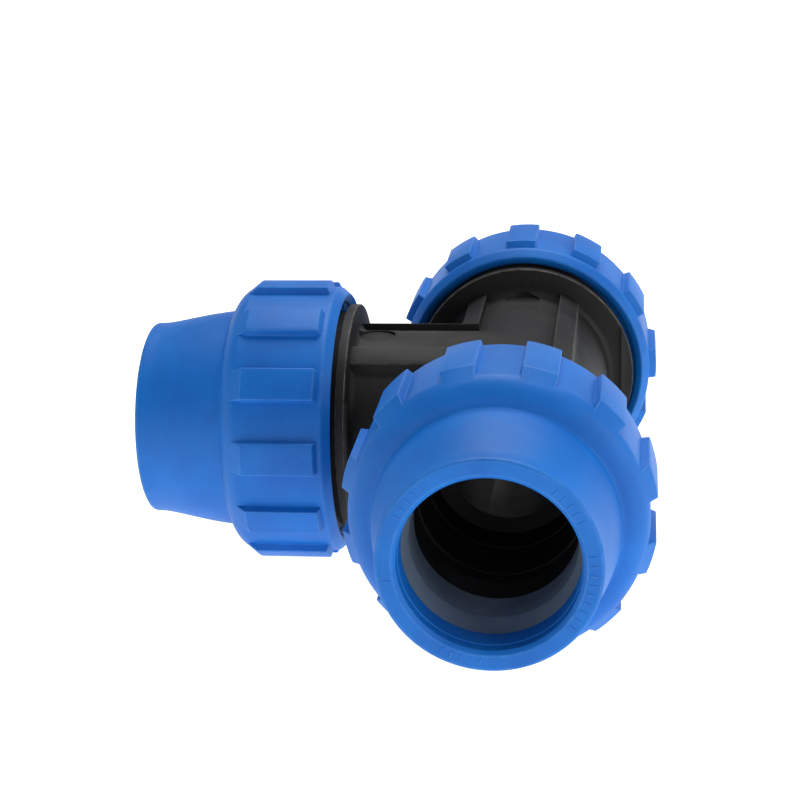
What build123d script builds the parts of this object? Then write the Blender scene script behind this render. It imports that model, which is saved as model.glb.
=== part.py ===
# Compression tee for polyethylene pipe: one body, and on each of its three arms a nut, a split
# grip ring, a thrust bush and an O-ring.
# Frame: the origin is where the three arm axes cross. The run lies along Y, the branch points
# to -X, and +Z is up. Millimetres.
import math
import os
from build123d import *

# ---- pipe and the fits along it
pipe_r = 20.0                # outside radius of the pipe that the tee joins
socket_gap = 0.3             # room round the pipe in the body, the bush and the O-ring
nut_bore_gap = 0.75          # room round the pipe in the nut's mouth
grip_bite = 0.6              # how far the free grip ring is smaller than the pipe
part_gap = 0.1               # room between the O-ring and what holds it
slide_gap = 0.2              # room round the bush's sleeve
thread_gap = 0.3             # radial room between the two threads
cone_gap = 0.4               # room between the grip ring and the nut's cone
stack_gap = 0.3              # axial room between the bush and the grip ring
nut_gap = 0.7                # axial room between the flange and a nut screwed home

# ---- body, with stations counted outwards along an arm from the flange's inner face
run_neck = 40.0              # tee centre to the inner face of a run arm's flange
branch_neck = 42.2           # the same on the branch
neck_r = 24.0
flow_r = 15.0                # water way through the centre
flange_t = 2.5
flange_lip = 0.4             # how far the flange stands out past the thread
gland_wall = 5.6             # wall round the O-ring, thread included
relief_length = 2.0          # plain groove between the flange and the thread
relief_depth = 1.9
stop_depth = 7.8             # pipe stop, inwards of the flange
taper_depth = 2.8            # inner end of the taper that centres the pipe
taper_start = 7.2
taper_drop = 1.0
gland_floor = 15.2
thread_end = 24.7
mouth_end = 26.7
mouth_chamfer = 0.8
thread_root = 0.4            # how far the thread's runouts go below its root
rib_in = 10.5                # the arms' long ribs, measured sideways from the arm's axis
rib_out = 15.8
rib_height = 2.2
pad_from = 27.9              # side pads on the flange, measured sideways from the arm's axis
pad_t = 0.8
pin_mark_r = 4.95            # round ejector mark in front of each flange
pin_mark_depth = 0.8
pin_mark_back = 5.3

# ---- O-ring, bush and grip ring
cord_d = 4.7                 # thickness of the O-ring
sleeve_length = 7.2
bush_lip = 2.4               # how far the bush's collar stands out past its sleeve
bush_collar_t = 3.2
ring_length = 15.4
ring_back_length = 1.6       # plain part behind the ring's cone
ring_leadin = 4.6
ring_flare = 1.5
tooth_depth = 0.35
tooth_at = 4.6
tooth_back = 0.1             # length of the tooth's steep side
leadin_step = 0.3            # how far the lead-in starts outside the bite
slot_w = 3.2                 # gap of the split ring

# ---- nut
nut_length = 53.5
nut_wall = 4.8
rear_chamfer = 2.2
rear_chamfer_r = 2.0
rear_opening = 0.9           # how far the rear opening stands out past the thread
rear_opening_length = 2.0
rear_flare = 1.6             # the rear opening's flare, outwards
rear_flare_length = 1.1
nose_back = 13.9             # base of the nose, inwards of the seat
nose_base_wall = 2.2
lip_length = 5.0
lip_wall = 5.15
lip_swell = 0.3              # how much thicker the lip is at its root
lip_edge_r = 0.9
bore_step_length = 3.6
bore_step = 0.2
bore_chamfer = 1.0
seat_room = 0.8              # room between the grip ring and the step that holds it in the nut
seat_step = 1.85             # how far that step stands out past the nut's bore
seat_chamfer = 0.4
shoulder_length = 4.5
shoulder_foot = 0.9          # width and rise of the fillet where the shoulder meets the nose
shoulder_foot_back = 0.2
shoulder_foot_rise = 0.6
shoulder_bulge = 4.7         # middle of the shoulder's curve, out and back from the nose's base
shoulder_bulge_back = 2.2
shoulder_cone = 4.5          # cone that ends the nut's thread
cone_slope = 0.331           # radius lost per millimetre along the nut's inner cone
grips = 12
grip_height = 2.0
grip_angle = 13.5
grip_rear = 3.2              # nut's rear end to the foot of a grip
grip_rear_ramp = 0.8
grip_reach = 0.6             # how far a grip's front ramp runs down the shoulder
grip_front_ramp = 3.1
grip_root = 1.0              # how deep a grip is rooted in the collar
grip_tip = 0.4               # the ramp's tip, inwards of the collar
nut_turns = {"front": 13.9, "back": -1.5, "branch": 3.0}

# ---- what follows from the sizes above
socket_r = pipe_r + socket_gap
oring_r = socket_r + part_gap + cord_d / 2
gland_r = oring_r + cord_d / 2 + part_gap
thread_r = gland_r + gland_wall
flange_r = thread_r + flange_lip
rib_r = neck_r + rib_height
stop_r = socket_r - taper_drop
sleeve_r = gland_r - slide_gap
bush_r = sleeve_r + bush_lip
bush_start = gland_floor + cord_d + 2 * part_gap
bush_collar = bush_start + sleeve_length
bush_end = bush_collar + bush_collar_t
ring_start = bush_end + stack_gap
ring_end = ring_start + ring_length
grip_r = pipe_r - grip_bite
nut_start = flange_t + nut_gap
nut_end = nut_start + nut_length
nut_thread_r = thread_r + thread_gap
collar_r = nut_thread_r + nut_wall
nut_bore_r = pipe_r + nut_bore_gap
lip_r = nut_bore_r + lip_wall
seat = ring_end + seat_room
cone_start = ring_start + ring_back_length
seat_r = nut_bore_r + seat_step
cone_r = seat_r + (seat - cone_start) * cone_slope
nose_base = seat - nose_back
nose_r = seat_r + nose_back * cone_slope + nose_base_wall
shoulder = nose_base - shoulder_length


def turned(*edges):
    """A solid of revolution about Z, from an outline of edges in the XZ plane."""
    return revolve(make_face(Wire(list(edges))), Axis.Z)


def outline(*points):
    """Straight edges through (radius, station) points."""
    corners = [(r, 0, z) for r, z in points]
    return [Line(a, b) for a, b in zip(corners, corners[1:])]


def arc(start, middle, end):
    """One arc through three (radius, station) points."""
    return [ThreePointArc(*[(r, 0, z) for r, z in (start, middle, end)])]


def column(radius, low, high):
    """A cylinder about Z between two stations."""
    return Pos(0, 0, low) * Cylinder(radius, high - low, align=(Align.CENTER, Align.CENTER, Align.MIN))


def block(low, high):
    """A box between two opposite corners."""
    size = [b - a for a, b in zip(low, high)]
    centre = [(a + b) / 2 for a, b in zip(low, high)]
    return Pos(*centre) * Box(*size)


def nut_shell():
    """The nut without its grips: ribbed collar, rounded shoulder, tapered nose and lip."""
    foot = (nose_r + shoulder_foot, nose_base - shoulder_foot_back)
    crown = (collar_r, shoulder)
    middle = (nose_r + shoulder_bulge, nose_base - shoulder_bulge_back)
    lip = nut_end - lip_length
    k = lip_edge_r
    inset = k * (1 - math.sqrt(0.5))
    tip = [(lip_r, nut_end - k), (lip_r - inset, nut_end - inset), (lip_r - k, nut_end)]
    rear_r = nut_thread_r + rear_opening
    bore_step_at = nut_end - bore_step_length
    mouth_r = nut_bore_r + bore_step
    outside = outline(
        (rear_r + rear_flare, nut_start), (collar_r - rear_chamfer_r, nut_start),
        (collar_r, nut_start + rear_chamfer), crown)
    nose = outline(foot, (nose_r, nose_base + shoulder_foot_rise), (lip_r + lip_swell, lip), tip[0])
    inside = outline(
        tip[2], (mouth_r + bore_chamfer, nut_end), (mouth_r, nut_end - bore_chamfer),
        (mouth_r, bore_step_at), (nut_bore_r, bore_step_at - bore_step), (nut_bore_r, seat + seat_chamfer),
        (seat_r, seat), (cone_r, cone_start), (nut_thread_r, cone_start - shoulder_cone),
        (nut_thread_r, nut_start + rear_opening_length + rear_opening),
        (rear_r, nut_start + rear_opening_length), (rear_r, nut_start + rear_flare_length),
        (rear_r + rear_flare, nut_start))
    return turned(*outside, *arc(crown, middle, foot), *nose, *arc(*tip), *inside)


def nut(turn):
    """The whole nut, its ring of grips turned by an angle."""
    base = collar_r - grip_root
    top = collar_r + grip_height
    low = nut_start + grip_rear
    high = shoulder + grip_reach
    tip = collar_r - grip_tip
    rib = make_face(Wire(outline(
        (base, low), (collar_r, low), (top, low + grip_rear_ramp), (top, high - grip_front_ramp),
        (tip, high), (tip - grip_root, high), (base, shoulder), (base, low))))
    wedge = Rot(0, 0, -grip_angle / 2) * revolve(rib, Axis.Z, grip_angle)
    solid = nut_shell()
    for i in range(grips):
        solid += Rot(0, 0, turn + i * 360 / grips) * wedge
    return solid


def grip_ring():
    """The split ring that bites the pipe: outer cone, flared lead-in and one tooth step."""
    big_r = cone_r - cone_gap
    small_r = big_r - (ring_end - cone_start) * cone_slope
    step = ring_start + tooth_at
    tooth_r = grip_r + tooth_depth
    ring = turned(*outline(
        (grip_r, ring_start), (big_r, ring_start), (big_r, cone_start), (small_r, ring_end),
        (grip_r + ring_flare, ring_end), (grip_r + leadin_step, ring_end - ring_leadin),
        (grip_r, step), (tooth_r, step - tooth_back), (grip_r, ring_start)))
    slot = block((0, -slot_w / 2, ring_start - 1), (2 * big_r, slot_w / 2, ring_end + 1))
    return ring - slot


def thrust_bush():
    """The bush between the grip ring and the O-ring, its collar outside the body's mouth."""
    edge = 0.5
    return turned(*outline(
        (socket_r + part_gap, bush_start), (sleeve_r - edge, bush_start),
        (sleeve_r, bush_start + edge), (sleeve_r, bush_collar), (bush_r, bush_collar),
        (bush_r, bush_end - 2 * edge), (bush_r - 2 * edge, bush_end),
        (socket_r + part_gap, bush_end), (socket_r + part_gap, bush_start)))


def o_ring():
    """A plain rubber ring in the body's gland."""
    return Pos(0, 0, gland_floor + part_gap + cord_d / 2) * Torus(oring_r, cord_d / 2)


def arm_outside(neck):
    """One arm of the body before boring: neck, flange, relief groove, thread and mouth."""
    pilot_r = thread_r - relief_depth - thread_root
    relief_end = flange_t + relief_length
    solid = column(neck_r, -neck, 1)
    solid += column(flange_r, 0, flange_t)
    solid += column(thread_r - relief_depth, 0, mouth_end)
    solid += turned(*outline(
        (1, relief_end), (pilot_r, relief_end), (thread_r, relief_end + relief_depth),
        (thread_r, thread_end - relief_depth), (pilot_r, thread_end), (1, thread_end),
        (1, relief_end)))
    pads = column(flange_r, -pad_t, 0) - block((-40, -pad_from, -2), (40, pad_from, 1))
    return solid + pads


def arm_bore(neck):
    """What is taken out of one arm: water way, pipe stop, taper, socket and O-ring gland."""
    way = column(flow_r, -neck, 0)
    return way + turned(*outline(
        (0, -stop_depth), (stop_r, -stop_depth), (stop_r, -taper_depth), (socket_r, taper_start),
        (socket_r, gland_floor), (gland_r, gland_floor), (gland_r, mouth_end - mouth_chamfer),
        (gland_r + mouth_chamfer, mouth_end), (gland_r + mouth_chamfer, mouth_end + 1),
        (0, mouth_end + 1), (0, -stop_depth)))


def long_ribs():
    """The raised ribs above and below the arms, mitred where the branch meets the run."""
    tall = rib_r + 1
    run = Rot(90, 0, 0) * column(rib_r, -run_neck, run_neck)
    branch = Rot(0, -90, 0) * column(rib_r, 0, branch_neck)
    straight = block((rib_in, -run_neck, -tall), (rib_out, run_neck, tall)) & run
    ribs = [straight]
    for side in (1, -1):
        near, far = sorted((side * rib_in, side * run_neck))
        ribs.append(block((-rib_out, near, -tall), (-rib_in, far, tall)) & run)
        near, far = sorted((side * rib_in, side * rib_out))
        ribs.append(block((-branch_neck, near, -tall), (-rib_in, far, tall)) & branch)
    return ribs[0].fuse(*ribs[1:])


def tee_body():
    """The moulded body with its three bored arms."""
    solid = long_ribs()
    for arm in arms.values():
        solid += arm["place"] * arm_outside(arm["neck"])
    for arm in arms.values():
        mark = Pos(arm["neck"] - pin_mark_back, 0, 0) * column(pin_mark_r, 0, 2 * neck_r)
        mark -= block((-99, -99, 0), (99, 99, neck_r - pin_mark_depth))
        solid -= Rot(0, 0, arm["heading"]) * mark
        solid -= arm["place"] * arm_bore(arm["neck"])
    return solid


def arm_frame(direction, neck):
    """Puts a piece's Z along an arm and its X upwards, with station 0 at the flange."""
    origin = [neck * d for d in direction]
    return Plane(origin=origin, x_dir=(0, 0, 1), z_dir=direction).location


arms = {
    "front": {"place": arm_frame((0, -1, 0), run_neck), "neck": run_neck, "heading": -90},
    "back": {"place": arm_frame((0, 1, 0), run_neck), "neck": run_neck, "heading": 90},
    "branch": {"place": arm_frame((-1, 0, 0), branch_neck), "neck": branch_neck, "heading": 180},
}

os.makedirs("parts", exist_ok=True)
export_step(tee_body(), "parts/tee_body.step")
for name, arm in arms.items():
    pieces = {
        "nut": nut(nut_turns[name]),
        "grip_ring": grip_ring(),
        "thrust_bush": thrust_bush(),
        "o_ring": o_ring(),
    }
    for piece, solid in pieces.items():
        export_step(arm["place"] * solid, f"parts/{piece}_{name}.step")

print("mouth to mouth", 2 * (run_neck + nut_end))
print("tee centre to branch mouth", branch_neck + nut_end)
print("nut across the grips", 2 * (collar_r + grip_height))
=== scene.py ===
import math

import bmesh
import bpy
from mathutils import Matrix, Vector


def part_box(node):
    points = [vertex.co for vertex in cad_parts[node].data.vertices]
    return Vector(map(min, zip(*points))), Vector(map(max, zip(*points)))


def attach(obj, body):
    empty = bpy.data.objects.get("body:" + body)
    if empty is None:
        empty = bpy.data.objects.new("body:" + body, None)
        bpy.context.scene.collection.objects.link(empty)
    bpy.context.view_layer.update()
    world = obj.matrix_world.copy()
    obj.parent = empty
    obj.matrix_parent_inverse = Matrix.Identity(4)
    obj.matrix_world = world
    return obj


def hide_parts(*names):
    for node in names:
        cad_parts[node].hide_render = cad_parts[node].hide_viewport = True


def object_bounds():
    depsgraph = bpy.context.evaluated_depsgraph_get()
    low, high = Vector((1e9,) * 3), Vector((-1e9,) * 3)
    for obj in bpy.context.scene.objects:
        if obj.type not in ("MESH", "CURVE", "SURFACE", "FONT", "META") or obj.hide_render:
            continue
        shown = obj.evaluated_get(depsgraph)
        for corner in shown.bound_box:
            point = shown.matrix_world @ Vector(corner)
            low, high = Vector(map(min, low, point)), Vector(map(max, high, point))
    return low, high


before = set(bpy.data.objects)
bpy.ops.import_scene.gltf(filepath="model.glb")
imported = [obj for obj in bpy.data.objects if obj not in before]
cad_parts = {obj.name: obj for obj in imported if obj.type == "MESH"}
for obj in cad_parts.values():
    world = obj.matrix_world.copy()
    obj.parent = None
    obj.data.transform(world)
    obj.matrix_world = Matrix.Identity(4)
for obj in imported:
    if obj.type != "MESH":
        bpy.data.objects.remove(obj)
cad_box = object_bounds()

# ---------------------------------------------------------------- tee body
# The body is one injection moulding in black polypropylene. Two of its arms make the run,
# along Y, and one the branch, towards -X. Each arm is a neck with long ribs, a flange, a
# socket with a screw thread outside, and a round mark where an ejector pin pushed it out.
MM = 0.001  # lengths are in millimetres, and a station is measured out along an arm from its flange
ARMS = {"front": Vector((0, -1, 0)), "back": Vector((0, 1, 0)), "branch": Vector((-1, 0, 0))}
NUT_END = 56.7
NECK_R = 24.0
WAY_R = 15.0
FLANGE_R = 31.2
FLANGE_T = 2.5
THREAD_R = 30.8
THREAD_DEPTH = 1.9
THREAD_PITCH = 5.0
THREAD_HALF = (0.8, 1.7)  # half the groove's width at its bottom and at the crest
THREAD_FROM = 4.5
THREAD_TO = 24.7
MOUTH_END = 26.7
RIB_IN = 10.5
RIB_OUT = 15.8
RIB_R = 26.2
RIB_FOOT = 15.5
PAD_FROM = 27.9
PAD_T = 0.8
PIN_MARK_R = 4.95
PIN_MARK_BACK = 5.3
PIN_MARK_FLOOR = 23.2
PIN_MARK_TOP = 27
OVERLAP = 0.5  # how far a bar runs into what it is joined to
SLICES = 240
BODY_BLACK = "161616"
BODY_GREY = "222121"
# pale edge colour, also used for scuffs; on edges it is partly rubbed wear and partly a painted
# highlight
BODY_EDGE = "6B6762"
DUST = "A9A399"
SCUFF_SHARE = 0.1


def arm_frame(arm):
    """The place of an arm's own frame: Z out along the arm, X up, station 0 at the flange."""
    out = ARMS[arm]
    low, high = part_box("nut_" + arm)
    mouth = max(low.dot(out), high.dot(out))
    up = Vector((0, 0, 1))
    turn = Matrix((up, out.cross(up), out)).transposed().to_4x4()
    return Matrix.Translation(out * (mouth - NUT_END * MM)) @ turn


def rounded(points, steps=4):
    """A closed outline whose corners (radius, station, round, wear_and_highlight) become arcs.

    Each point's wear_and_highlight, its share of pale edge colour that is partly rubbed wear and
    partly a painted highlight, is that of the surface between it and the next point. An arc takes
    up less than half of each run beside it, so that two arcs never meet."""
    result = []
    for i, (r, z, size, wear_and_highlight) in enumerate(points):
        here = Vector((r, z))
        before = Vector(points[i - 1][:2]) - here
        after = Vector(points[(i + 1) % len(points)][:2]) - here
        reach = min(size, 0.45 * before.length, 0.45 * after.length)
        if reach <= 0:
            result.append((r, z, 0))
            continue
        start = here + before.normalized() * reach
        end = here + after.normalized() * reach
        for k in range(steps + 1):
            t = k / steps
            at = start * (1 - t) ** 2 + here * 2 * t * (1 - t) + end * t * t
            result.append((at.x, at.y, wear_and_highlight if k < steps else 0))
    return result


def divided(points, low, high, threaded, step=0.4):
    """The outline with the runs that carry a thread cut into short rows.

    Those runs lie between two stations, and threaded says whether a radius is theirs."""
    result = []
    for a, b in zip(points, points[1:] + points[:1]):
        result.append(a)
        between = low <= min(a[1], b[1]) and max(a[1], b[1]) <= high
        inside = between and threaded(a[0]) and threaded(b[0])
        count = round(abs(b[1] - a[1]) / step) if inside else 0
        for k in range(1, count):
            t = k / count
            result.append((a[0] + (b[0] - a[0]) * t, a[1] + (b[1] - a[1]) * t, 0))
    return result


def closed_mesh(name, points, faces, wear_and_highlight=None):
    """A mesh from points in millimetres, its faces outwards, with a share on each face of pale
    edge colour, partly rubbed wear and partly a painted highlight.
    """
    mesh = bpy.data.meshes.new(name)
    mesh.from_pydata([[c * MM for c in p] for p in points], [], faces)
    values = wear_and_highlight if wear_and_highlight else [0.0] * len(faces)
    mesh.attributes.new("worn", "FLOAT", "FACE").data.foreach_set("value", values)
    work = bmesh.new()
    work.from_mesh(mesh)
    bmesh.ops.recalc_face_normals(work, faces=work.faces)
    work.to_mesh(mesh)
    work.free()
    return mesh


def thread_cut(r, z, angle, screw):
    """A point's radius, cut back to the screw's surface where the point lies on the thread.

    screw is (radius, depth, half width at that depth, half width at that radius, low, high),
    with the thread between its low and high stations. The 0.01 takes in points on the radius
    itself and leaves out points at the full depth."""
    radius, depth, deep, wide, low, high = screw
    if not (low <= z <= high and 0 <= radius - r + 0.01 <= depth):
        return r
    turn = (z / THREAD_PITCH - angle / math.tau + 0.5) % 1 - 0.5
    share = (wide - abs(turn) * THREAD_PITCH) / (wide - deep)
    return min(r, radius - depth * min(1, max(0, share)))


def spun(name, outline, screw=None):
    """A closed shell turned about Z from a closed loop of (radius, station, wear_and_highlight)
    points.
    """
    rows = len(outline)
    points, faces, wear_and_highlight = [], [], []
    for i in range(SLICES):
        angle = math.tau * i / SLICES
        for r, z, _ in outline:
            if screw:
                r = thread_cut(r, z, angle, screw)
            points.append((r * math.cos(angle), r * math.sin(angle), z))
        near, far = i * rows, ((i + 1) % SLICES) * rows
        for j in range(rows):
            k = (j + 1) % rows
            faces.append((near + j, far + j, far + k, near + k))
            wear_and_highlight.append(outline[j][2])
    return closed_mesh(name, points, faces, wear_and_highlight)


def prism(name, loop, rings, wear_and_highlight=None):
    """A closed bar: a loop of points repeated at each ring by a rule, with both ends capped."""
    n = len(loop)
    points = [ring(p) for ring in rings for p in loop]
    faces = [tuple(range(n)), tuple(range(len(points) - n, len(points)))]
    shares = [0.0, 0.0]
    for k in range(len(rings) - 1):
        for i in range(n):
            j = (i + 1) % n
            faces.append((k * n + i, k * n + j, (k + 1) * n + j, (k + 1) * n + i))
            shares.append(wear_and_highlight[i] if wear_and_highlight else 0.0)
    return closed_mesh(name, points, faces, shares)


def shown(name, mesh):
    """A new object in the scene."""
    thing = bpy.data.objects.new(name, mesh)
    bpy.context.scene.collection.objects.link(thing)
    return thing


def fused(name, base, added, removed):
    """A plain object: a base mesh with others joined on and others taken out of it."""
    solid = shown(name, base)
    helpers = []
    for operation, meshes in (("UNION", added), ("DIFFERENCE", removed)):
        for mesh in meshes:
            helpers.append(shown(mesh.name, mesh))
            cut = solid.modifiers.new(mesh.name, "BOOLEAN")
            cut.operation = operation
            cut.solver = "MANIFOLD"
            cut.object = helpers[-1]
    bpy.context.view_layer.update()
    ready = solid.evaluated_get(bpy.context.evaluated_depsgraph_get())
    plain = bpy.data.meshes.new_from_object(ready)
    solid.modifiers.clear()
    solid.data = plain
    plain.materials.clear()
    plain.name = name
    for helper in helpers:
        bpy.data.objects.remove(helper)
    return solid


def smooth(piece, degrees):
    """Smooth shading, with edges sharper than an angle left crisp."""
    piece.data.shade_smooth()
    piece.data.set_sharp_from_angle(angle=math.radians(degrees))


def linear(code):
    """An sRGB hex colour as linear RGBA."""
    parts = [int(code[i:i + 2], 16) / 255 for i in (0, 2, 4)]
    return [p / 12.92 if p <= 0.04045 else ((p + 0.055) / 1.055) ** 2.4 for p in parts] + [1.0]


def add(tree, kind, settings=None, inputs=None, links=None):
    """Adds a node with its settings, its input values and the links into it."""
    node = tree.nodes.new(kind)
    for key, value in (settings or {}).items():
        setattr(node, key, value)
    for key, value in (inputs or {}).items():
        node.inputs[key].default_value = value
    for key, source in (links or {}).items():
        tree.links.new(source, node.inputs[key])
    return node


def moulded_plastic(name, ior, glint, tint, edge, gloss, dust_share, grain):
    """An injection-moulded plastic: two tints of melt, pale edges that are partly rubbed wear and
    partly a painted highlight, dust, smears and a fine skin.

    glint is the specular level, tint and edge are hex colours, gloss the lowest and highest
    roughness, and grain the size in millimetres at which the mould's spark-eroded skin is drawn,
    coarser than the real one so that it shows. A Mix node's factor is its socket 0, and its
    colours are sockets 6 and 7 going in and 2 coming out."""
    mat = bpy.data.materials.new(name)
    mat.use_nodes = True
    tree = mat.node_tree
    shader = tree.nodes["Principled BSDF"]
    shader.inputs["IOR"].default_value = ior
    shader.inputs["Specular IOR Level"].default_value = glint
    place = add(tree, "ShaderNodeTexCoord").outputs["Object"]
    # flow marks of the melt, about 14 mm apart
    flow = add(tree, "ShaderNodeTexNoise",
               inputs={"Scale": 1 / (14 * MM), "Detail": 4.0, "Roughness": 0.55},
               links={"Vector": place})
    streak = add(tree, "ShaderNodeMapRange", inputs={"From Min": 0.35, "From Max": 0.68},
                 links={"Value": flow.outputs["Fac"]})
    melt = add(tree, "ShaderNodeMix", {"data_type": "RGBA"},
               {6: linear(tint[0]), 7: linear(tint[1])}, {0: streak.outputs["Result"]})
    # pale edges, partly rubbed wear and partly a painted highlight, broken up at about 2.5 mm
    worn = add(tree, "ShaderNodeAttribute", {"attribute_name": "worn"})
    edge_breakup_noise = add(tree, "ShaderNodeTexNoise", inputs={"Scale": 1 / (2.5 * MM), "Detail": 3.0},
              links={"Vector": place})
    edge_breakup = add(tree, "ShaderNodeMapRange",
                inputs={"From Min": 0.36, "From Max": 0.66, "To Min": 0.25},
                links={"Value": edge_breakup_noise.outputs["Fac"]})
    edge_wear_and_highlight_share = add(tree, "ShaderNodeMath", {"operation": "MULTIPLY"},
               links={0: worn.outputs["Fac"], 1: edge_breakup.outputs["Result"]})
    rubbed_and_highlit = add(tree, "ShaderNodeMix", {"data_type": "RGBA"}, {7: linear(edge)},
                 {0: edge_wear_and_highlight_share.outputs[0], 6: melt.outputs[2]})
    # faint pale scuffs from other fittings in the bin, in patches of a few millimetres
    region = add(tree, "ShaderNodeTexNoise", inputs={"Scale": 1 / (17 * MM), "Detail": 1.0},
                 links={"Vector": place})
    where = add(tree, "ShaderNodeMapRange", inputs={"From Min": 0.64, "From Max": 0.76},
                links={"Value": region.outputs["Fac"]})
    hairs = add(tree, "ShaderNodeTexNoise", inputs={"Scale": 1 / (1.6 * MM), "Detail": 3.0},
                links={"Vector": place})
    scratch = add(tree, "ShaderNodeMapRange",
                  inputs={"From Min": 0.4, "From Max": 0.62, "To Max": SCUFF_SHARE},
                  links={"Value": hairs.outputs["Fac"]})
    scuff = add(tree, "ShaderNodeMath", {"operation": "MULTIPLY"},
                links={0: where.outputs["Result"], 1: scratch.outputs["Result"]})
    scuffed = add(tree, "ShaderNodeMix", {"data_type": "RGBA"}, {7: linear(edge)},
                  {0: scuff.outputs[0], 6: rubbed_and_highlit.outputs[2]})
    # specks of pale dust under half a millimetre across, in loose patches
    cells = add(tree, "ShaderNodeTexVoronoi", inputs={"Scale": 1 / (4.0 * MM)},
                links={"Vector": place})
    specks = add(tree, "ShaderNodeMapRange",
                 inputs={"From Max": 0.05, "To Min": dust_share, "To Max": 0.0},
                 links={"Value": cells.outputs["Distance"]})
    drift = add(tree, "ShaderNodeTexNoise", inputs={"Scale": 1 / (22 * MM)},
                links={"Vector": place})
    patches = add(tree, "ShaderNodeMapRange", inputs={"From Min": 0.5, "From Max": 0.62},
                  links={"Value": drift.outputs["Fac"]})
    settled = add(tree, "ShaderNodeMath", {"operation": "MULTIPLY"},
                  links={0: specks.outputs["Result"], 1: patches.outputs["Result"]})
    dusty = add(tree, "ShaderNodeMix", {"data_type": "RGBA"}, {7: linear(DUST)},
                {0: settled.outputs[0], 6: scuffed.outputs[2]})
    tree.links.new(dusty.outputs[2], shader.inputs["Base Color"])
    # handling smears change the gloss over about 9 mm
    smears = add(tree, "ShaderNodeTexNoise",
                 inputs={"Scale": 1 / (9 * MM), "Detail": 5.0, "Roughness": 0.6},
                 links={"Vector": place})
    shine = add(tree, "ShaderNodeMapRange", inputs={"To Min": gloss[0], "To Max": gloss[1]},
                links={"Value": smears.outputs["Fac"]})
    tree.links.new(shine.outputs["Result"], shader.inputs["Roughness"])
    # the skin, 0.03 mm high, over slow waves of sink in the thick walls, twelve times as high
    skin = add(tree, "ShaderNodeTexNoise", inputs={"Scale": 1 / (grain * MM)},
               links={"Vector": place})
    sink = add(tree, "ShaderNodeTexNoise", inputs={"Scale": 1 / (11 * MM)},
               links={"Vector": place})
    height = add(tree, "ShaderNodeMath", {"operation": "MULTIPLY_ADD"}, {1: 12.0},
                 {0: sink.outputs["Fac"], 2: skin.outputs["Fac"]})
    bump = add(tree, "ShaderNodeBump", inputs={"Strength": 0.3, "Distance": 0.03 * MM},
               links={"Height": height.outputs[0]})
    tree.links.new(bump.outputs["Normal"], shader.inputs["Normal"])
    return mat


def arm_outside():
    """Flange, relief groove, screw thread and mouth of one arm, as a closed turned solid."""
    relief_r = THREAD_R - THREAD_DEPTH
    # the flange rim's two corners take the most pale edge colour: partly rubbed wear, partly a
    # painted highlight along the rim
    outline = rounded([
        (20, -3.5, 0, 0), (NECK_R - 0.05, -3.5, 0, 0), (NECK_R, -1.2, 0.8, 0),
        (NECK_R + 1.2, 0, 0.8, 0), (FLANGE_R, 0, 0.35, 0.7), (FLANGE_R, FLANGE_T, 0.35, 0.45),
        (relief_r, FLANGE_T, 0.3, 0), (relief_r, THREAD_FROM, 0.3, 0), (THREAD_R, 6.4, 0.3, 0),
        (THREAD_R, 22.8, 0.3, 0), (relief_r, THREAD_TO, 0.3, 0), (relief_r, MOUTH_END, 0.4, 0),
        (20, MOUTH_END, 0, 0)])
    outline = divided(outline, 5.8, 23.4, lambda r: r > relief_r)
    return spun("arm_outside", outline,
                (THREAD_R, THREAD_DEPTH, *THREAD_HALF, THREAD_FROM, THREAD_TO))


def arm_bore():
    """What is taken out of one arm: pipe stop, tapered socket and O-ring gland."""
    return spun("arm_bore", rounded([
        (0.01, -7.8, 0, 0), (19.3, -7.8, 0.5, 0), (19.3, -2.8, 0.5, 0), (20.3, 7.2, 0.5, 0),
        (20.3, 15.2, 0.4, 0), (25.2, 15.2, 0.4, 0), (25.2, MOUTH_END - 0.8, 0.3, 0),
        (26.4, MOUTH_END + 0.4, 0, 0), (26.4, MOUTH_END + 1, 0, 0), (0.01, MOUTH_END + 1, 0, 0)]))


def bar(name, radius, start, end, place, count=SLICES):
    """A plain round bar along a place's own Z."""
    loop = [(radius * math.cos(math.tau * i / count), radius * math.sin(math.tau * i / count))
            for i in range(count)]
    mesh = prism(name, loop, [lambda p, z=z: (p[0], p[1], z) for z in (start, end)])
    mesh.transform(place)
    return mesh


def rib_loop():
    """A long rib's section as (sideways, upwards): filleted foot, crisp crown on a round."""
    def top(radius, t):
        return math.sqrt(radius * radius - t * t)

    inner = [(RIB_IN - 0.7, top(NECK_R, RIB_IN - 0.7) - 0.02),
             (RIB_IN - 0.2, top(NECK_R, RIB_IN) + 0.2),
             (RIB_IN, top(NECK_R, RIB_IN) + 0.75)]
    crown = [(RIB_IN, top(RIB_R, RIB_IN) - 0.35),
             (RIB_IN + 0.1, top(RIB_R, RIB_IN) - 0.12),
             (RIB_IN + 0.35, top(RIB_R, RIB_IN + 0.35))]
    crown += [(t, top(RIB_R, t)) for t in (11.9, 13.15, 14.4)]
    crown += [(RIB_OUT - 0.35, top(RIB_R, RIB_OUT - 0.35)),
              (RIB_OUT - 0.08, top(RIB_R, RIB_OUT) - 0.05),
              (RIB_OUT, top(RIB_R, RIB_OUT) - 0.3)]
    outer = [(RIB_OUT, top(NECK_R, RIB_OUT) + 0.8),
             (RIB_OUT + 0.2, top(NECK_R, RIB_OUT) + 0.1),
             (RIB_OUT + 0.8, top(NECK_R, RIB_OUT + 0.8) - 0.02)]
    foot = [(RIB_OUT + 0.8, RIB_FOOT), (RIB_IN - 0.7, RIB_FOOT)]
    loop = inner + crown + outer + foot
    # the crown's four edge faces take pale edge colour: partly rubbed wear, partly a painted
    # highlight
    wear_and_highlight = [0.0] * len(loop)
    for k in (3, 4, 9, 10):
        wear_and_highlight[k] = 0.3
    return loop, wear_and_highlight


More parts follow.
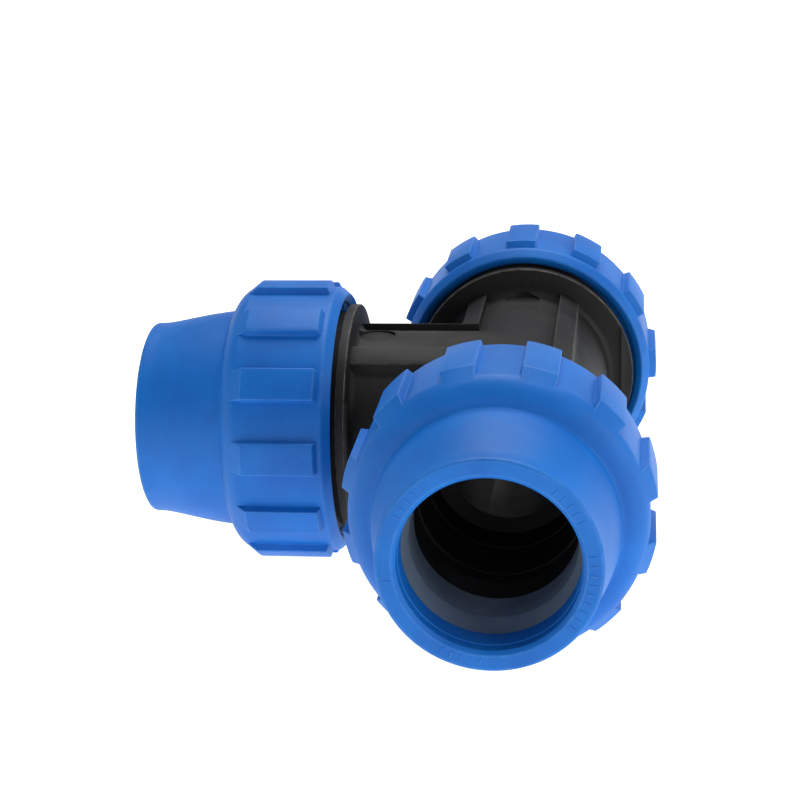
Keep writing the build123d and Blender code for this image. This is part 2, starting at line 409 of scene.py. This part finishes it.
def long_ribs(neck, branch_neck):
    """The ribs above and below the arms, mitred where the branch meets the run."""
    loop, wear_and_highlight = rib_loop()
    meshes = []
    for up in (1, -1):
        rings = [lambda p, y=y, up=up: (p[0], y, up * p[1])
                 for y in (-neck - OVERLAP, neck + OVERLAP)]
        meshes.append(prism("rib_run", loop, rings, wear_and_highlight))
        for side in (1, -1):
            run = [lambda p: (-p[0], side * (p[0] - 0.01), up * p[1]),
                   lambda p: (-p[0], side * (neck + OVERLAP), up * p[1])]
            branch = [lambda p: (-(p[0] - 0.01), side * p[0], up * p[1]),
                      lambda p: (-(branch_neck + OVERLAP), side * p[0], up * p[1])]
            meshes += [prism("rib_run_in", loop, run, wear_and_highlight),
                       prism("rib_branch", loop, branch, wear_and_highlight)]
    return meshes


def flange_pads():
    """The two flat pads on a flange's inner face, one at each side."""
    reach = math.acos(PAD_FROM / FLANGE_R)
    rim_r = FLANGE_R - 0.1
    loop = [(rim_r * math.sin(a), rim_r * math.cos(a))
            for a in [reach * (1 - k / 6) for k in range(13)]]
    meshes = []
    for side in (1, -1):
        rings = [lambda p, z=z, g=g, side=side:
                 (p[0] * g, side * (PAD_FROM + (p[1] - PAD_FROM) * g), z)
                 for z, g in ((0.3, 1.0), (-PAD_T + 0.15, 1.0), (-PAD_T, 0.94))]
        meshes.append(prism("flange_pad", loop, rings))
    return meshes


places = {arm: arm_frame(arm) for arm in ARMS}
necks = {arm: places[arm].translation.length / MM for arm in ARMS}
along_run = places["back"].to_3x3().to_4x4()
along_branch = places["branch"].to_3x3().to_4x4()
joined = [bar("branch_neck", NECK_R, 0, necks["branch"] + OVERLAP, along_branch)]
joined += long_ribs(necks["front"], necks["branch"])
taken = [bar("run_way", WAY_R, -necks["front"], necks["back"], along_run),
         bar("branch_way", WAY_R, 0, necks["branch"], along_branch)]
for arm, place in places.items():
    for mesh in [arm_outside()] + flange_pads():
        mesh.transform(place)
        joined.append(mesh)
    bore = arm_bore()
    bore.transform(place)
    taken.append(bore)
    centre = ARMS[arm] * (necks[arm] - PIN_MARK_BACK) * MM
    taken.append(bar("pin_mark", PIN_MARK_R, PIN_MARK_FLOOR, PIN_MARK_TOP,
                     Matrix.Translation(centre), 96))
run_neck = bar("run_neck", NECK_R, -necks["front"] - OVERLAP, necks["back"] + OVERLAP, along_run)
body = fused("body_moulding", run_neck, joined, taken)
smooth(body, 28)

# Black polypropylene, moulded: dull satin, greyed by handling, its edges pale grey, partly
# rubbed wear and partly a painted highlight.
black = moulded_plastic("black_polypropylene_moulded", ior=1.49, glint=0.3,
                        tint=(BODY_BLACK, BODY_GREY), edge=BODY_EDGE, gloss=(0.46, 0.66),
                        dust_share=0.35, grain=0.45)
body.data.materials.append(black)
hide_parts("tee_body")
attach(body, "body")

# ---------------------------------------------------------------- O-rings
# One in each socket's gland: nitrile rubber, moulded in two halves, so a fine line of flash
# runs round it inside and outside. It seals on the pipe.
CORD_R = 2.35
CORD_TRIM = 0.02
CORD_SIDES = 28
FLASH = 0.06
ORING_R = 22.75
ORING_AT = 17.65
RUBBER = "141414"
RUBBER_DUSTY = "232221"
RUBBER_EDGE = "3A3835"

# Nitrile rubber, moulded: matt and nearly black, greyed a little by dust.
rubber = moulded_plastic("nitrile_rubber_moulded", ior=1.52, glint=0.35,
                         tint=(RUBBER, RUBBER_DUSTY), edge=RUBBER_EDGE, gloss=(0.5, 0.72),
                         dust_share=0.2, grain=0.3)
for arm, place in places.items():
    section = []
    for k in range(CORD_SIDES):
        a = math.tau * k / CORD_SIDES
        swell = FLASH if k in (0, CORD_SIDES // 2) else -CORD_TRIM
        section.append((ORING_R + (CORD_R + swell) * math.cos(a),
                        ORING_AT + (CORD_R - CORD_TRIM) * math.sin(a), 0))
    seal = shown("o_ring_rubber_" + arm, spun("o_ring_rubber", section))
    seal.data.transform(place)
    seal.data.materials.append(rubber)
    smooth(seal, 60)
    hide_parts("o_ring_" + arm)
    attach(seal, "body")

# ---------------------------------------------------------------- thrust bushes
# One in each socket: black polypropylene, moulded. Its sleeve holds the O-ring in, and its
# collar rests on the socket's mouth, behind the grip ring.
for arm, place in places.items():
    outline = rounded([
        (20.4, 20.1, 0.3, 0), (24.5, 20.1, 0.3, 0), (25.0, 20.6, 0.3, 0), (25.0, 27.3, 0.2, 0),
        (27.4, 27.3, 0.3, 0), (27.4, 29.5, 0.4, 0), (26.4, 30.5, 0.4, 0), (20.4, 30.5, 0.3, 0)])
    bush = shown("thrust_bush_moulding_" + arm, spun("thrust_bush_moulding", outline))
    bush.data.transform(place)
    bush.data.materials.append(black)
    smooth(bush, 35)
    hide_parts("thrust_bush_" + arm)
    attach(bush, "clamp_" + arm)

# ---------------------------------------------------------------- grip rings
# One in each nut's cone: grey-blue acetal, moulded with a slot so that the nut can close it on
# the pipe. A low tooth inside bites the pipe, and a flared lead-in at the mouth guides it.
RING_START = 30.8
RING_END = 46.2
RING_SLOT = 3.2
RING_GREY = "6B7A8B"
RING_PALE = "788798"
# pale edge colour, also used for scuffs; on edges it is partly rubbed wear and partly a painted
# highlight
RING_EDGE = "98A4B2"

# Acetal, moulded: smooth and waxy, so it shines a little more than the polypropylene round it.
acetal = moulded_plastic("grey_blue_acetal_moulded", ior=1.48, glint=0.45,
                         tint=(RING_GREY, RING_PALE), edge=RING_EDGE, gloss=(0.28, 0.42),
                         dust_share=0.15, grain=0.4)
for arm, place in places.items():
    # the corners at the mouth and on the tooth take pale edge colour: partly rubbed wear, partly a
    # painted highlight
    inside = [(21.35, RING_END, 0.3, 0.25), (19.7, 41.0, 0.15, 0), (19.55, 36.6, 0.15, 0.3),
              (20.0, 36.0, 0.1, 0), (19.6, RING_START, 0.3, 0)]
    outside = [(27.0, RING_START, 0.3, 0), (27.0, 32.4, 0.2, 0), (22.45, RING_END, 0.3, 0.2)]
    outline = rounded(outside + inside)
    corners = [(x, y, z) for x in (15, 30) for y in (-RING_SLOT / 2, RING_SLOT / 2)
               for z in (RING_START - 1, RING_END + 1)]
    sides = [(0, 1, 3, 2), (4, 5, 7, 6), (0, 1, 5, 4), (2, 3, 7, 6), (0, 2, 6, 4), (1, 3, 7, 5)]
    gap = closed_mesh("ring_gap", corners, sides)
    ring = fused("grip_ring_moulding_" + arm, spun("grip_ring", outline), [], [gap])
    ring.data.transform(place)
    ring.data.materials.append(acetal)
    smooth(ring, 28)
    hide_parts("grip_ring_" + arm)
    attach(ring, "clamp_" + arm)

# ---------------------------------------------------------------- nuts
# Each nut is one injection moulding in blue polypropylene: a collar with twelve grips, a
# rounded shoulder, a tapered nose and a straight lip. Inside are the screw thread, which runs
# on the body's, and the cone that closes the grip ring. Plain dashes are raised on the lip.
NUT_START = 3.2
COLLAR_R = 35.9
CROWN_R = 37.9
NUT_THREAD_R = 31.1
NUT_THREAD_DEPTH = 1.35
NUT_THREAD_HALF = (0.75, 1.55)
NUT_THREAD_FROM = 6.6
NUT_THREAD_TO = 28.0
LIP_FACE = NUT_END - 0.12
LIP_MIDDLE = 23.45
GRIP_COUNT = 12
GRIP_HALF = math.radians(13.5 / 2)
GRIP_ROUND = 0.32
# the share of pale edge colour on a grip's rounded edges: partly rubbed wear, partly a painted
# highlight
GRIP_WEAR_AND_HIGHLIGHT = 0.3
NUT_TURN = {"front": 13.9, "back": -1.5, "branch": 3.0}  # how each nut stands, in degrees
# each row's first angle in degrees and its number of dashes
DASH_ROWS = [(-128, 9), (-62, 5), (38, 5), (100, 1), (152, 6)]
DASH_STEP = 5.6
DASH_LONG = 0.9
DASH_WIDE = 0.3
DASH_SLOPE = 0.09
DASH_ROOT = -0.3
NUT_BLUE = "0570CC"
NUT_BLUE_DEEP = "0465C0"
# pale edge colour, also used for scuffs; on edges it is partly rubbed wear and partly a painted
# highlight
NUT_EDGE = "5C9AE2"


def nut_shell():
    """The nut without its grips, in its arm's frame: its outside, its lip, then its inside."""
    # corners at the nut's back, collar and lip take a little pale edge colour: partly rubbed wear,
    # partly a painted highlight
    outline = rounded([
        (33.5, NUT_START, 0.3, 0.1), (34.0, NUT_START, 0.4, 0.2), (COLLAR_R, 5.4, 0.5, 0.15),
        (COLLAR_R, 15, 0, 0), (COLLAR_R, 28.3, 0.9, 0), (35.1, 29.8, 0.9, 0), (34.1, 30.9, 0.8, 0),
        (32.9, 31.8, 0.8, 0), (31.55, 32.5, 0.7, 0), (30.3, 32.85, 0.6, 0), (29.5, 33.2, 0.45, 0),
        (29.32, 34.3, 0.6, 0), (28.95, 37.2, 1.4, 0), (28.4, 40.8, 1.6, 0), (27.5, 45.4, 1.6, 0),
        (26.6, 49.8, 1.6, 0), (26.05, 52.8, 1.2, 0), (25.95, 54.6, 0, 0),
        (25.9, LIP_FACE, 0.95, 0.2), (21.95, LIP_FACE, 0.3, 0.25),
        (20.95, 55.7, 0.25, 0.1), (20.95, 53.1, 0.12, 0.15), (20.75, 52.9, 0.1, 0.1),
        (20.75, 50.2, 0, 0), (20.75, 47.4, 0.15, 0), (22.6, 47.0, 0.3, 0), (27.2, 33.0, 0.5, 0),
        (NUT_THREAD_R, 28.5, 0.4, 0), (NUT_THREAD_R, 6.1, 0.3, 0),
        (32.0, 5.2, 0.3, 0.1), (32.0, 4.3, 0.3, 0.2)])
    outline = divided(outline, 5.9, 28.6, lambda r: 30.5 < r < 31.5)
    return spun("nut_shell", outline, (NUT_THREAD_R, NUT_THREAD_DEPTH, *NUT_THREAD_HALF,
                                       NUT_THREAD_FROM, NUT_THREAD_TO))


def grip_mesh():
    """One grip: a pad with drafted sides, sloped ends and rounded edges, on a small fillet."""
    across = 8
    # station, radius at the foot and radius at the crown
    stations = [(6.4, 34.9, 35.85), (7.2, 34.9, CROWN_R),
                (26.1, 34.9, CROWN_R), (29.3, 34.2, 35.35)]
    # a side's share of the height, and how far it stands out sideways there
    rise = [(0.0, 0.4), (0.31, 0.4), (0.36, 0.2), (0.44, 0.05), (1.0, -0.15)]

    def ring(z, base, top):
        sides = []
        for share, spread in rise:
            r = base + (top - base) * share
            sides.append((r, GRIP_HALF + spread / r))
        left = [(r, -a) for r, a in sides]
        r, half = sides[-1]
        crown = [(r, -half + 2 * half * k / across) for k in range(1, across)]
        loop = left + crown + [(r, a) for r, a in reversed(sides)]
        return [(r * math.cos(a), r * math.sin(a), z) for r, a in loop]

    rings = [ring(*station) for station in stations]
    n = len(rings[0])
    points = [p for one in rings for p in one]
    faces = [tuple(range(n)), tuple(range(len(points) - n, len(points)))]
    for k in range(len(rings) - 1):
        faces += [(k * n + i, k * n + (i + 1) % n, (k + 1) * n + (i + 1) % n, (k + 1) * n + i)
                  for i in range(n)]
    mesh = closed_mesh("grip", points, faces)
    work = bmesh.new()
    work.from_mesh(mesh)
    crisp = [e for e in work.edges if e.calc_face_angle(0) > math.radians(25)
             and max(v.co.xy.length for v in e.verts) > (CROWN_R - 0.2) * MM]
    made = bmesh.ops.bevel(work, geom=crisp, offset=GRIP_ROUND * MM, segments=3, profile=0.5,
                           affect="EDGES", clamp_overlap=True)
    # the rounded edge faces take the grip's share of pale edge colour: partly rubbed wear, partly a
    # painted highlight
    worn = work.faces.layers.float["worn"]
    for face in work.faces:
        face[worn] = 0.0
    for face in made["faces"]:
        face[worn] = GRIP_WEAR_AND_HIGHLIGHT
    work.to_mesh(mesh)
    work.free()
    return mesh


def dash_mesh():
    """One raised dash of the lip, standing radially, with sloped sides."""
    points = []
    for z, slope in ((DASH_ROOT, 0.0), (NUT_END - LIP_FACE, DASH_SLOPE)):
        r, t = DASH_LONG - slope, DASH_WIDE - slope
        points += [(-r, -t, z), (r, -t, z), (r, t, z), (-r, t, z)]
    faces = [(0, 1, 2, 3), (4, 5, 6, 7), (0, 1, 5, 4), (1, 2, 6, 5), (2, 3, 7, 6), (3, 0, 4, 7)]
    # the dash's top and sides take pale edge colour: partly rubbed wear, partly a painted highlight
    return closed_mesh("dash", points, faces, [0, 0.2, 0.1, 0.1, 0.1, 0.1])


def dash_places():
    """Points round the middle of the lip, one for each dash, in short rows."""
    angles = [math.radians(start + k * DASH_STEP) for start, count in DASH_ROWS
              for k in range(count)]
    mesh = bpy.data.meshes.new("dash_places")
    mesh.from_pydata([(LIP_MIDDLE * MM * math.cos(a), LIP_MIDDLE * MM * math.sin(a), LIP_FACE * MM)
                      for a in angles], [], [])
    return mesh


def nut_tree(material):
    """Geometry nodes: grips round the collar and dashes on the lip, joined to the nut's shell."""
    tree = bpy.data.node_groups.new("nut_moulding", "GeometryNodeTree")
    face = tree.interface
    face.new_socket("Geometry", in_out="INPUT", socket_type="NodeSocketGeometry")
    for name, kind in (("Grip", "Object"), ("Dash", "Object"), ("Dash places", "Object"),
                       ("Grips", "Int"), ("Turn", "Float")):
        face.new_socket(name, in_out="INPUT", socket_type="NodeSocket" + kind)
    face.new_socket("Geometry", in_out="OUTPUT", socket_type="NodeSocketGeometry")
    given = add(tree, "NodeGroupInput").outputs
    dots = add(tree, "GeometryNodePoints", links={"Count": given["Grips"]}).outputs[0]
    index = add(tree, "GeometryNodeInputIndex").outputs[0]
    step = add(tree, "ShaderNodeMath", {"operation": "DIVIDE"}, {0: math.tau},
               {1: given["Grips"]})
    angle = add(tree, "ShaderNodeMath", {"operation": "MULTIPLY_ADD"},
                links={0: index, 1: step.outputs[0], 2: given["Turn"]}).outputs[0]
    spin = add(tree, "ShaderNodeCombineXYZ", links={"Z": angle}).outputs[0]
    grip = add(tree, "GeometryNodeObjectInfo", links={"Object": given["Grip"]}).outputs["Geometry"]
    grips = add(tree, "GeometryNodeInstanceOnPoints",
                links={"Points": dots, "Instance": grip, "Rotation": spin}).outputs[0]
    marks = add(tree, "GeometryNodeObjectInfo",
                links={"Object": given["Dash places"]}).outputs["Geometry"]
    where = add(tree, "GeometryNodeInputPosition").outputs[0]
    part = add(tree, "ShaderNodeSeparateXYZ", links={0: where}).outputs
    facing = add(tree, "ShaderNodeMath", {"operation": "ARCTAN2"},
                 links={0: part["Y"], 1: part["X"]}).outputs[0]
    dash_spin = add(tree, "ShaderNodeCombineXYZ", links={"Z": facing}).outputs[0]
    dash = add(tree, "GeometryNodeObjectInfo",
               links={"Object": given["Dash"]}).outputs["Geometry"]
    dashes = add(tree, "GeometryNodeInstanceOnPoints",
                 links={"Points": marks, "Instance": dash, "Rotation": dash_spin}).outputs[0]
    raised = add(tree, "GeometryNodeJoinGeometry")
    tree.links.new(grips, raised.inputs[0])
    tree.links.new(dashes, raised.inputs[0])
    solid = add(tree, "GeometryNodeRealizeInstances",
                links={"Geometry": raised.outputs[0]}).outputs[0]
    whole = add(tree, "GeometryNodeMeshBoolean", {"operation": "UNION", "solver": "MANIFOLD"})
    tree.links.new(given["Geometry"], whole.inputs["Mesh 2"])
    tree.links.new(solid, whole.inputs["Mesh 2"])
    real = add(tree, "GeometryNodeRealizeInstances",
               links={"Geometry": whole.outputs["Mesh"]}).outputs[0]
    coat = add(tree, "GeometryNodeSetMaterial", inputs={"Material": material},
               links={"Geometry": real})
    add(tree, "NodeGroupOutput", links={0: coat.outputs[0]})
    return tree


def made_plain(name, mesh, tree, values):
    """Runs a tree of geometry nodes on a mesh and returns the result as a plain object."""
    shape = shown(name, mesh)
    work = shape.modifiers.new("making", "NODES")
    work.node_group = tree
    names = {s.name: s.identifier for s in tree.interface.items_tree if s.in_out == "INPUT"}
    for key, value in values.items():
        work[names[key]] = value
    bpy.context.view_layer.update()
    ready = shape.evaluated_get(bpy.context.evaluated_depsgraph_get())
    plain = bpy.data.meshes.new_from_object(ready)
    shape.modifiers.remove(work)
    shape.data = plain
    plain.name = name
    return shape


# Blue polypropylene, moulded: satin and even, with edges a little pale, partly rubbed wear
# and partly a painted highlight.
blue = moulded_plastic("blue_polypropylene_moulded", ior=1.49, glint=0.35,
                       tint=(NUT_BLUE, NUT_BLUE_DEEP), edge=NUT_EDGE, gloss=(0.45, 0.6),
                       dust_share=0.45, grain=0.4)
grip = bpy.data.objects.new("grip", grip_mesh())
dash = bpy.data.objects.new("dash", dash_mesh())
dash_rows = bpy.data.objects.new("dash_places", dash_places())
tree = nut_tree(blue)
for arm, place in places.items():
    nut = made_plain("nut_moulding_" + arm, nut_shell(), tree, {
        "Grip": grip, "Dash": dash, "Dash places": dash_rows, "Grips": GRIP_COUNT,
        "Turn": math.radians(NUT_TURN[arm])})
    nut.data.transform(place)
    smooth(nut, 30)
    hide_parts("nut_" + arm)
    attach(nut, "nut_" + arm)

# ---------------------------------------------------------------- studio
# A pale, faintly glowing paper floor that sweeps up at its edge, a soft white surround, soft
# light from above and from the right, and the camera.
CAMERA_AIM = Vector((-0.0312, -0.0012, 0.00585))
CAMERA_AZIMUTH = math.radians(7.58)
CAMERA_ELEVATION = math.radians(19.15)
CAMERA_ROLL = math.radians(-1.99)
CAMERA_DISTANCE = 0.5105
CAMERA_LENS = 84.9
FLOOR_SIDES = 96
# the floor's radius and rise, in metres, from its flat part to the top of the sweep
FLOOR_SWEEP = [(3.0, 0.0), (3.3, 0.03), (3.6, 0.13), (3.8, 0.27), (3.93, 0.46), (4.0, 0.75)]
FLOOR_PAPER = "B4B4B4"
FLOOR_GLOW = 1.05
SURROUND = "FFFFFF"
SURROUND_STRENGTH = 0.22
# each light's place and size in metres, and its power in watts
LIGHTS = [("top_light", (0.05, 0.35, 0.9), 0.7, 8), ("right_light", (0.8, -0.3, 0.35), 0.4, 2.2)]

floor_mesh = bpy.data.meshes.new("floor")
corners = [(r * math.cos(math.tau * i / FLOOR_SIDES), r * math.sin(math.tau * i / FLOOR_SIDES),
            cad_box[0][2] + rise)
           for r, rise in FLOOR_SWEEP for i in range(FLOOR_SIDES)]
strips = [(k * FLOOR_SIDES + i, k * FLOOR_SIDES + (i + 1) % FLOOR_SIDES,
           (k + 1) * FLOOR_SIDES + (i + 1) % FLOOR_SIDES, (k + 1) * FLOOR_SIDES + i)
          for k in range(len(FLOOR_SWEEP) - 1) for i in range(FLOOR_SIDES)]
floor_mesh.from_pydata(corners, [], [tuple(range(FLOOR_SIDES))] + [strip[::-1] for strip in strips])
floor_mesh.shade_smooth()
floor = shown("floor", floor_mesh)
paper = bpy.data.materials.new("floor_paper")
paper.use_nodes = True
sheet = paper.node_tree.nodes["Principled BSDF"].inputs
sheet["Base Color"].default_value = linear(FLOOR_PAPER)
sheet["Roughness"].default_value = 0.9
sheet["Emission Color"].default_value = linear(SURROUND)
sheet["Emission Strength"].default_value = FLOOR_GLOW
floor.data.materials.append(paper)

world = bpy.data.worlds.new("studio")
bpy.context.scene.world = world
world.use_nodes = True
world.node_tree.nodes["Background"].inputs["Color"].default_value = linear(SURROUND)
world.node_tree.nodes["Background"].inputs["Strength"].default_value = SURROUND_STRENGTH

for name, at, size, power in LIGHTS:
    light = bpy.data.lights.new(name, "AREA")
    light.shape = "SQUARE"
    light.size = size
    light.energy = power
    lamp = shown(name, light)
    lamp.location = at
    lamp.rotation_euler = (-Vector(at)).to_track_quat("-Z", "Y").to_euler()

sight = Vector((math.sin(CAMERA_AZIMUTH) * math.cos(CAMERA_ELEVATION),
                -math.cos(CAMERA_AZIMUTH) * math.cos(CAMERA_ELEVATION), math.sin(CAMERA_ELEVATION)))
camera = shown("camera", bpy.data.cameras.new("camera"))
camera.data.lens = CAMERA_LENS
camera.data.sensor_width = 36
camera.data.clip_start = 0.01
camera.location = CAMERA_AIM + sight * CAMERA_DISTANCE
camera.rotation_euler = (sight.to_track_quat("Z", "Y").to_matrix()
                         @ Matrix.Rotation(CAMERA_ROLL, 3, "Z")).to_euler()
bpy.context.scene.camera = camera
bpy.context.scene.view_settings.view_transform = "Standard"
